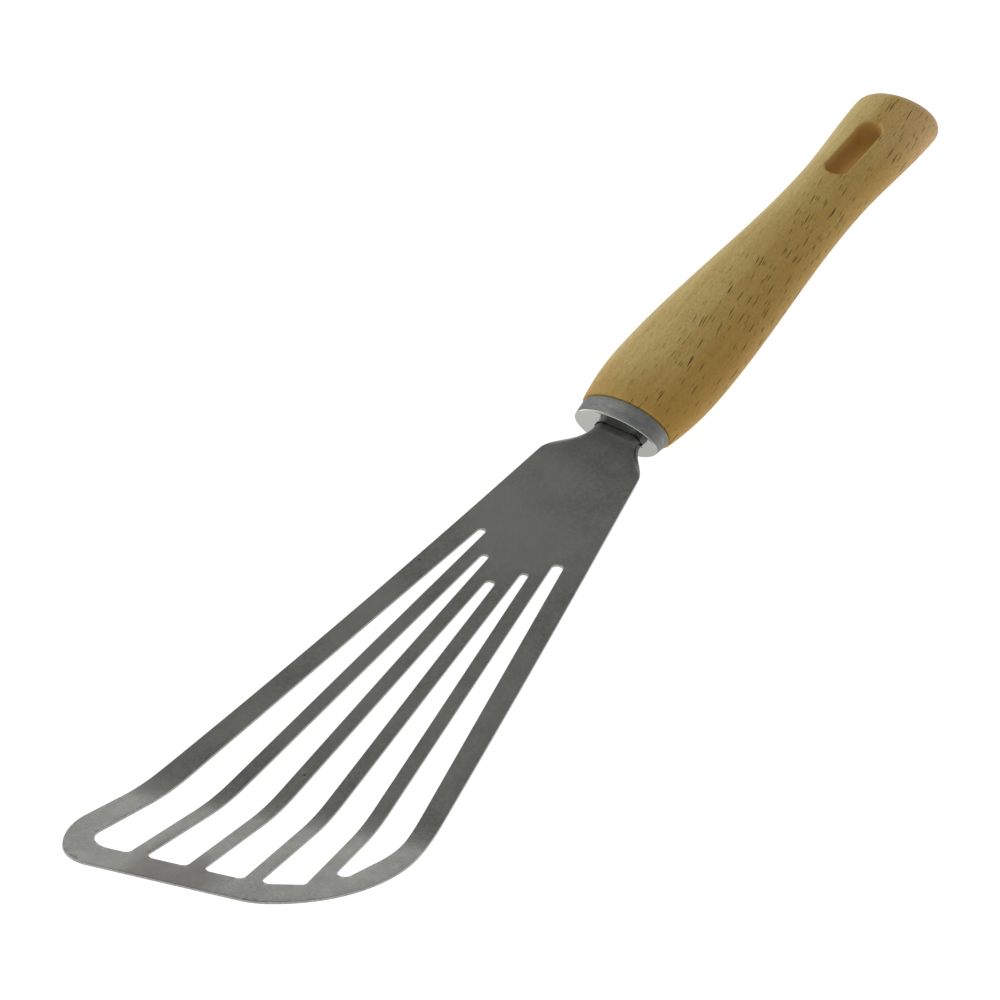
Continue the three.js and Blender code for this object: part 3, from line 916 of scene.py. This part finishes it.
# Beech: its grain sways gently, and flecks have a size along, across and through the grain
WOOD_SHEEN = 0.12
GRAIN_WAVE = 14
GRAIN_SWAY = 0.4
STREAK_SCALE = (0.012, 0.5, 0.3)
FIBRE_SCALE = (0.8, 4, 4)
WOOD_CLOUD = 26
RAY = {"size": (6.5, 0.3, 8), "kept": 0.16, "reach": 0.38}
SMALL_RAY = {"size": (3.4, 0.28, 4), "kept": 0.14, "reach": 0.4}
DOT = {"size": (1.8, 0.9, 0.9), "kept": 0.12, "reach": 0.35}
PORE = {"size": (1.4, 0.2, 1.2), "kept": 0.35, "reach": 0.45}
WOOD_CLOUD_SPAN = (0.35, 0.7)
WOOD_CLOUD_SHARE = 0.3
# Painted shade: the handle turns darker and more orange towards its right side, away from the light
PAINTED_SHADE_SIDE_ZONE = (-5, 12)
PAINTED_SHADE_SIDE_SHARE = 0.72
AMBER_FRONT_ZONE = (-20, 0)
AMBER_FRONT_SHARE = 0.45
# Painted sheen: a pale highlight on the handle's right side near the butt
PAINTED_SHEEN_BUTT_ZONE = (-130, -100)
PAINTED_SHEEN_SIDE_ZONE = (-1, 9)
PAINTED_SHEEN_SHARE = 0.8
FIBRE_SPAN = (0.4, 0.7)
FIBRE_SHARE = 0.3
PORE_SHARE = 0.22
DOT_SHARE = 0.3
RAY_SIDE_ZONE = (-6, 3)
RAY_LEAST_SHARE = 0.12
SMALL_RAY_SHARE = 0.75
BORE_SHARE = 0.8
BORE_ROUGHNESS = 0.95
WOOD_GLOSS_SPAN = (0.3, 0.8)
WOOD_ROUGHNESS = (0.4, 0.55)
PORE_DEPTH_SHARE = 0.6
WOOD_BUMP = {"depth": 0.04, "strength": 0.6}

# Sheet steel: painted shade darkens the neck, stained on the tip's middle, and pitted here and
# there
STEEL_CLOUD = 30
MOTTLE_SCALE = (0.6, 1, 1)
MOTTLE_SIZE = 4
MOTTLE_SPAN = (0.35, 0.7)
MOTTLE_SHARE = 0.4
SATIN_SIZE = 0.8
SATIN_SPAN = (0.38, 0.66)
SATIN_SHARE = 0.55
ZONE_WAVE = 9
ZONE_SWAY = 3
NECK_SHADE_ZONE = (FACE, FACE + 20)
NECK_SHADE_SHARE = 0.9
NECK_SHADE_SIDE_ZONE = (-10, 9)
NECK_SHADE_LEAST = 0.5
STAIN_LEFT_ZONE = (-17, -12)
STAIN_RIGHT_ZONE = (2, 9)
STAIN_TIP_ZONE = (172, 180)
STAIN_SHARE = 0.7
PIT = {"size": (8, 8, 8), "kept": 0.15, "reach": 0.05}
PIT_SHARE = 0.8
SHEET_ROUGHNESS = (0.26, 0.36)
SATIN_BUMP = {"depth": 0.002, "strength": 0.3}

# The sheet's cut edges
SHEAR_SCALE = (2.5, 2.5, 0.4)
CUT_ROUGHNESS = (0.3, 0.5)
SHEAR_BUMP = {"depth": 0.02, "strength": 0.5}

# Ferrule: a mottled side with painted shade on its left, and a polished face within a share of the
# face's oval
LINE_SCALE = (3, 0.5, 0.5)
LINE_SHARE = 0.3
PLATE_CLOUD = 2.5
FERRULE_SHADE_ZONE = (-11, -2)
FERRULE_SHADE_SHARE = 0.95
POLISH_SPAN = (0.93, 0.96)
POLISH_GAIN = 0.46
BAND_ROUGHNESS = (0.56, 0.68)
LINE_BUMP = {"depth": 0.006, "strength": 0.5}

# Epoxy
EPOXY_CLOUD = 3
EPOXY_ROUGHNESS = (0.35, 0.55)


class Finish:
    """A node material, with its patterns placed along the tool's axes in millimetres."""

    def __init__(self, name, metallic, **sockets):
        self.material = bpy.data.materials.new(name)
        self.material.use_nodes = True
        self.tree = self.material.node_tree
        self.shader = self.tree.nodes["Principled BSDF"]
        self.set(Metallic=metallic, **sockets)
        lying = {
            "Vector": self.tree.nodes.new("ShaderNodeTexCoord").outputs["Object"],
            "Location": LAY.translation,
            "Rotation": LAY.to_euler(),
            "Scale": (MM, MM, MM),
        }
        self.place = self.node("Mapping", lying, vector_type="TEXTURE").outputs["Vector"]

    def feed(self, socket, value):
        if isinstance(value, bpy.types.NodeSocket):
            self.tree.links.new(value, socket)
        else:
            socket.default_value = value

    def set(self, **sockets):
        for name, value in sockets.items():
            self.feed(self.shader.inputs[name.replace("_", " ")], value)

    def node(self, kind, inputs, **settings):
        made = self.tree.nodes.new("ShaderNode" + kind)
        for name, value in settings.items():
            setattr(made, name, value)
        for key, value in inputs.items():
            self.feed(made.inputs[key], value)
        return made

    def stretched(self, place, scale, turn=(0, 0, 0)):
        """A place turned first and then scaled."""
        if any(turn):
            place = self.node("Mapping", {"Vector": place, "Rotation": turn}).outputs["Vector"]
        return self.node("Mapping", {"Vector": place, "Scale": scale}).outputs["Vector"]

    def noise(self, place, size=1, detail=2, output="Fac"):
        inputs = {"Vector": place, "Scale": 1 / size, "Detail": detail}
        return self.node("TexNoise", inputs).outputs[output]

    def along(self, axis, place):
        return self.node("SeparateXYZ", {0: place}).outputs[axis]

    def ramp(self, value, span, to_low=0.0, to_high=1.0):
        """A value eased from one level to another over a span or a zone."""
        inputs = {
            "Value": value,
            "From Min": span[0],
            "From Max": span[1],
            "To Min": to_low,
            "To Max": to_high,
        }
        return self.node("MapRange", inputs, interpolation_type="SMOOTHSTEP").outputs["Result"]

    def math(self, operation, a, b):
        return self.node("Math", {0: a, 1: b}, operation=operation).outputs[0]

    def times(self, a, b):
        return self.math("MULTIPLY", a, b)

    def mix(self, share, a, b):
        return self.node("Mix", {0: share, 6: a, 7: b}, data_type="RGBA").outputs[2]

    def warped(self, place, size, reach):
        """A place pushed about by a noise of that size, by up to about that reach."""
        push = self.noise(place, size, output="Color")
        centred = self.node("VectorMath", {0: push, 1: NOISE_MIDDLE}, operation="SUBTRACT")
        inputs = {0: centred.outputs[0], "Scale": 2 * reach}
        scaled = self.node("VectorMath", inputs, operation="SCALE")
        total = self.node("VectorMath", {0: place, 1: scaled.outputs[0]}, operation="ADD")
        return total.outputs[0]

    def flecks(self, place, size, kept, reach, turn=(0, 0, 0)):
        """Scattered spindles: a share of the cells of that size, each filled out to a reach."""
        cells = self.stretched(place, [1 / length for length in size], turn)
        found = self.node("TexVoronoi", {"Vector": cells, "Scale": 1.0})
        near = self.ramp(found.outputs["Distance"], (FLECK_CORE * reach, reach), 1.0, 0.0)
        red = self.node("SeparateColor", {0: found.outputs["Color"]}).outputs[0]
        return self.times(near, self.math("LESS_THAN", red, kept))

    def bump(self, height, depth, strength):
        inputs = {"Height": height, "Distance": depth * MM, "Strength": strength}
        self.set(Normal=self.node("Bump", inputs).outputs["Normal"])


def make_beech():
    wood = Finish("beech_oiled", 0.0, Specular_IOR_Level=WOOD_SHEEN)
    place = wood.warped(wood.place, GRAIN_WAVE, GRAIN_SWAY)
    streaks = wood.noise(wood.stretched(place, STREAK_SCALE, RING_TURN), detail=5)
    fibres = wood.noise(wood.stretched(place, FIBRE_SCALE, RAY_TURN), detail=4)
    clouds = wood.noise(wood.place, WOOD_CLOUD, detail=3)
    rays, small_rays, dots, pores = [
        wood.flecks(place, **fleck, turn=RAY_TURN) for fleck in (RAY, SMALL_RAY, DOT, PORE)
    ]
    bore = wood.node("Attribute", {}, attribute_name="bore").outputs["Fac"]
    ahead, aside = wood.along("X", wood.place), wood.along("Y", wood.place)

    tone = wood.mix(wood.ramp(streaks, NOISE_SPAN), WOOD_PALE, WOOD_HONEY)
    tone = wood.mix(wood.ramp(clouds, WOOD_CLOUD_SPAN, 0, WOOD_CLOUD_SHARE), tone, WOOD_AMBER)
    # painted shade, darker and more orange towards the right side
    tone = wood.mix(wood.ramp(aside, PAINTED_SHADE_SIDE_ZONE, 0, PAINTED_SHADE_SIDE_SHARE), tone, WOOD_AMBER)
    tone = wood.mix(wood.ramp(ahead, AMBER_FRONT_ZONE, 0, AMBER_FRONT_SHARE), tone, WOOD_AMBER)
    # painted sheen, paler on the right side near the butt
    butt = wood.ramp(ahead, PAINTED_SHEEN_BUTT_ZONE, PAINTED_SHEEN_SHARE, 0)
    tone = wood.mix(wood.times(butt, wood.ramp(aside, PAINTED_SHEEN_SIDE_ZONE)), tone, WOOD_PAINTED_SHEEN)
    tone = wood.mix(wood.ramp(fibres, FIBRE_SPAN, 0, FIBRE_SHARE), tone, WOOD_PORE)
    tone = wood.mix(wood.times(pores, PORE_SHARE), tone, WOOD_PORE)
    tone = wood.mix(wood.times(dots, DOT_SHARE), tone, WOOD_PORE)
    facing = wood.ramp(aside, RAY_SIDE_ZONE, RAY_LEAST_SHARE, 1)
    tone = wood.mix(wood.times(small_rays, wood.times(facing, SMALL_RAY_SHARE)), tone, WOOD_RAY)
    tone = wood.mix(wood.times(rays, facing), tone, WOOD_RAY)
    tone = wood.mix(wood.times(bore, BORE_SHARE), tone, WOOD_BORE)

    gloss = wood.ramp(fibres, WOOD_GLOSS_SPAN, *WOOD_ROUGHNESS)
    roughness = wood.math("MAXIMUM", gloss, wood.times(bore, BORE_ROUGHNESS))
    wood.set(Base_Color=tone, Roughness=roughness)
    cut = wood.math("MAXIMUM", rays, wood.times(pores, PORE_DEPTH_SHARE))
    wood.bump(wood.math("SUBTRACT", fibres, cut), **WOOD_BUMP)
    return wood.material


def make_sheet_steel():
    steel = Finish("sheet_steel", 1.0)
    clouds = steel.noise(steel.place, STEEL_CLOUD, detail=3)
    mottle = steel.noise(steel.stretched(steel.place, MOTTLE_SCALE), MOTTLE_SIZE, detail=4)
    satin = steel.noise(steel.place, SATIN_SIZE, detail=3)
    pits = steel.flecks(steel.place, **PIT)
    place = steel.warped(steel.place, ZONE_WAVE, ZONE_SWAY)
    ahead, aside = steel.along("X", place), steel.along("Y", place)

    tone = steel.mix(steel.ramp(clouds, NOISE_SPAN), STEEL_DARK, STEEL_LIGHT)
    tone = steel.mix(steel.ramp(mottle, MOTTLE_SPAN, 0, MOTTLE_SHARE), tone, STEEL_DARK)
    tone = steel.mix(steel.ramp(satin, SATIN_SPAN, 0, SATIN_SHARE), tone, STEEL_LIGHT)
    # painted shade on the neck near the ferrule, weaker towards the right
    neck = steel.ramp(ahead, NECK_SHADE_ZONE, NECK_SHADE_SHARE, 0)
    neck = steel.times(neck, steel.ramp(aside, NECK_SHADE_SIDE_ZONE, 1, NECK_SHADE_LEAST))
    tone = steel.mix(neck, tone, STEEL_NECK_SHADE)
    stain = steel.ramp(aside, STAIN_LEFT_ZONE)
    stain = steel.times(stain, steel.ramp(aside, STAIN_RIGHT_ZONE, 1, 0))
    stain = steel.times(stain, steel.ramp(ahead, STAIN_TIP_ZONE))
    tone = steel.mix(steel.times(stain, STAIN_SHARE), tone, STEEL_STAIN)
    tone = steel.mix(steel.times(pits, PIT_SHARE), tone, STEEL_PIT)

    steel.set(Base_Color=tone, Roughness=steel.ramp(mottle, NOISE_SPAN, *SHEET_ROUGHNESS))
    steel.bump(satin, **SATIN_BUMP)
    return steel.material


def make_cut_steel():
    steel = Finish("cut_steel", 1.0)
    shear = steel.noise(steel.stretched(steel.place, SHEAR_SCALE), detail=3)
    steel.set(
        Base_Color=steel.mix(steel.ramp(shear, NOISE_SPAN), CUT_DARK, CUT_LIGHT),
        Roughness=steel.ramp(shear, NOISE_SPAN, *CUT_ROUGHNESS),
    )
    steel.bump(shear, **SHEAR_BUMP)
    return steel.material


def make_ferrule_steel():
    steel = Finish("ferrule_steel", 1.0)
    lines = steel.noise(steel.stretched(steel.place, LINE_SCALE), detail=4)
    clouds = steel.noise(steel.place, PLATE_CLOUD, detail=3)
    ahead, aside = steel.along("X", steel.place), steel.along("Y", steel.place)
    tone = steel.mix(steel.ramp(clouds, NOISE_SPAN), PLATE_COOL, PLATE_WARM)
    tone = steel.mix(steel.ramp(lines, NOISE_SPAN, 0, LINE_SHARE), tone, PLATE_LINES_AND_SHADE)
    # painted shade on the ferrule's left side
    tone = steel.mix(steel.ramp(aside, FERRULE_SHADE_ZONE, FERRULE_SHADE_SHARE, 0), tone, PLATE_LINES_AND_SHADE)

    # The lip round the face is polished, and so is the dish inside it
    lip = steel.ramp(ahead, (FACE - FERRULE_ROUND, FACE - FERRULE_ROUND / 2))
    oval_place = steel.stretched(steel.place, (0, 2 / FERRULE_FACE_WIDTH, 2 / FERRULE_FACE_DEPTH))
    share = steel.node("VectorMath", {0: oval_place}, operation="LENGTH").outputs["Value"]
    polished = steel.math("MAXIMUM", lip, steel.ramp(share, POLISH_SPAN, 1, 0))
    dull = steel.ramp(lines, NOISE_SPAN, *BAND_ROUGHNESS)
    roughness = steel.math("SUBTRACT", dull, steel.times(polished, POLISH_GAIN))
    steel.set(Base_Color=steel.mix(polished, tone, PLATE_BRIGHT), Roughness=roughness)
    steel.bump(lines, **LINE_BUMP)
    return steel.material


def make_epoxy():
    epoxy = Finish("cured_epoxy", 0.0)
    clouds = epoxy.noise(epoxy.place, EPOXY_CLOUD, detail=3)
    epoxy.set(
        Base_Color=epoxy.mix(clouds, EPOXY_PALE, EPOXY_DEEP),
        Roughness=epoxy.ramp(clouds, NOISE_SPAN, *EPOXY_ROUGHNESS),
    )
    return epoxy.material


# Studio

def make_world():
    """A soft tent: white low down, dim half way up, and a broad soft light above on the left."""
    world = bpy.data.worlds.new("tent")
    bpy.context.scene.world = world
    world.use_nodes = True
    tree = world.node_tree
    background = tree.nodes["Background"]
    direction = tree.nodes.new("ShaderNodeTexCoord").outputs["Generated"]
    split = tree.nodes.new("ShaderNodeSeparateXYZ")
    tree.links.new(direction, split.inputs[0])
    tent = tree.nodes.new("ShaderNodeValToRGB")
    tent.color_ramp.interpolation = "EASE"
    stops = tent.color_ramp.elements
    own_stops = len(stops)
    for i, (height, level) in enumerate(TENT_LEVELS):
        stop = stops[i] if i < own_stops else stops.new(height)
        stop.position = height
        stop.color = (level, level, level, 1)
    tree.links.new(split.outputs["Z"], tent.inputs[0])
    facing = tree.nodes.new("ShaderNodeVectorMath")
    facing.operation = "DOT_PRODUCT"
    facing.inputs[1].default_value = LIGHT_TOWARDS.normalized()
    tree.links.new(direction, facing.inputs[0])
    disc = tree.nodes.new("ShaderNodeMapRange")
    disc.interpolation_type = "SMOOTHSTEP"
    disc.inputs["From Min"].default_value = math.cos(LIGHT_OUTER)
    disc.inputs["From Max"].default_value = math.cos(LIGHT_INNER)
    disc.inputs["To Max"].default_value = LIGHT_LEVEL
    tree.links.new(facing.outputs["Value"], disc.inputs["Value"])
    total = tree.nodes.new("ShaderNodeVectorMath")
    tree.links.new(tent.outputs["Color"], total.inputs[0])
    tree.links.new(disc.outputs["Result"], total.inputs[1])
    tree.links.new(total.outputs[0], background.inputs["Color"])


def make_floor():
    mesh = bpy.data.meshes.new("floor")
    side = FLOOR_SIDE / 2
    corners = [(-side, -side), (side, -side), (side, side), (-side, side)]
    mesh.from_pydata([(x, y, -FLOOR_GAP * MM) for x, y in corners], [], [(0, 1, 2, 3)])
    floor = bpy.data.objects.new("floor", mesh)
    bpy.context.scene.collection.objects.link(floor)
    paper = bpy.data.materials.new("white_paper")
    paper.use_nodes = True
    shader = paper.node_tree.nodes["Principled BSDF"]
    shader.inputs["Base Color"].default_value = (FLOOR_SHADE, FLOOR_SHADE, FLOOR_SHADE, 1)
    shader.inputs["Roughness"].default_value = 1
    shader.inputs["Specular IOR Level"].default_value = 0
    shader.inputs["Emission Color"].default_value = (1, 1, 1, 1)
    shader.inputs["Emission Strength"].default_value = FLOOR_GLOW
    mesh.materials.append(paper)


def make_camera():
    flat = math.cos(VIEW_ELEVATION)
    back = Vector((
        flat * math.cos(VIEW_HEADING),
        flat * math.sin(VIEW_HEADING),
        math.sin(VIEW_ELEVATION),
    ))
    right = Vector((-math.sin(VIEW_HEADING), math.cos(VIEW_HEADING), 0))
    up = back.cross(right)
    per_pixel = VIEW_DISTANCE / FOCAL_PIXELS
    aside = (AIM_PIXEL[0] - PICTURE_SIDE / 2) * per_pixel
    above = (PICTURE_SIDE / 2 - AIM_PIXEL[1]) * per_pixel
    eye = VIEW_AIM + back * VIEW_DISTANCE - right * aside - up * above
    stand = Matrix((right, up, back)).transposed().to_4x4()
    stand.translation = eye * MM
    lens = bpy.data.cameras.new("camera")
    lens.sensor_width = SENSOR
    lens.lens = SENSOR * FOCAL_PIXELS / PICTURE_SIDE
    camera = bpy.data.objects.new("camera", lens)
    bpy.context.scene.collection.objects.link(camera)
    camera.matrix_world = LAY @ stand
    bpy.context.scene.camera = camera


# Assembly

def table_turn():
    """The turn that lays the tool on a table, which touches its bend and the handle's underside."""
    slopes = []
    for back in range(int(HANDLE_LENGTH)):
        depth = half_depth_at(back) + drop_at(back) - SHEET / 2
        slopes.append(depth / (BEND_START + back * math.cos(BEND_SKEW)))
    slope = max(slopes)
    normal = Vector((-slope * math.cos(BEND_SKEW), -slope * math.sin(BEND_SKEW), 1))
    return normal.rotation_difference(Vector((0, 0, 1)))


LAY = Matrix.Translation(TOOL_AT * MM) @ table_turn().to_matrix().to_4x4()

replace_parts(make_handle([make_beech()]), "handle")
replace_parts(make_ferrule([make_ferrule_steel()]), "ferrule")
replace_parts(make_blade([make_sheet_steel(), make_cut_steel()]), "blade")
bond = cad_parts["tang_bond"]
bond.data.materials.clear()
bond.data.materials.append(make_epoxy())

make_floor()
make_world()
make_camera()
bpy.context.scene.view_settings.view_transform = "Standard"
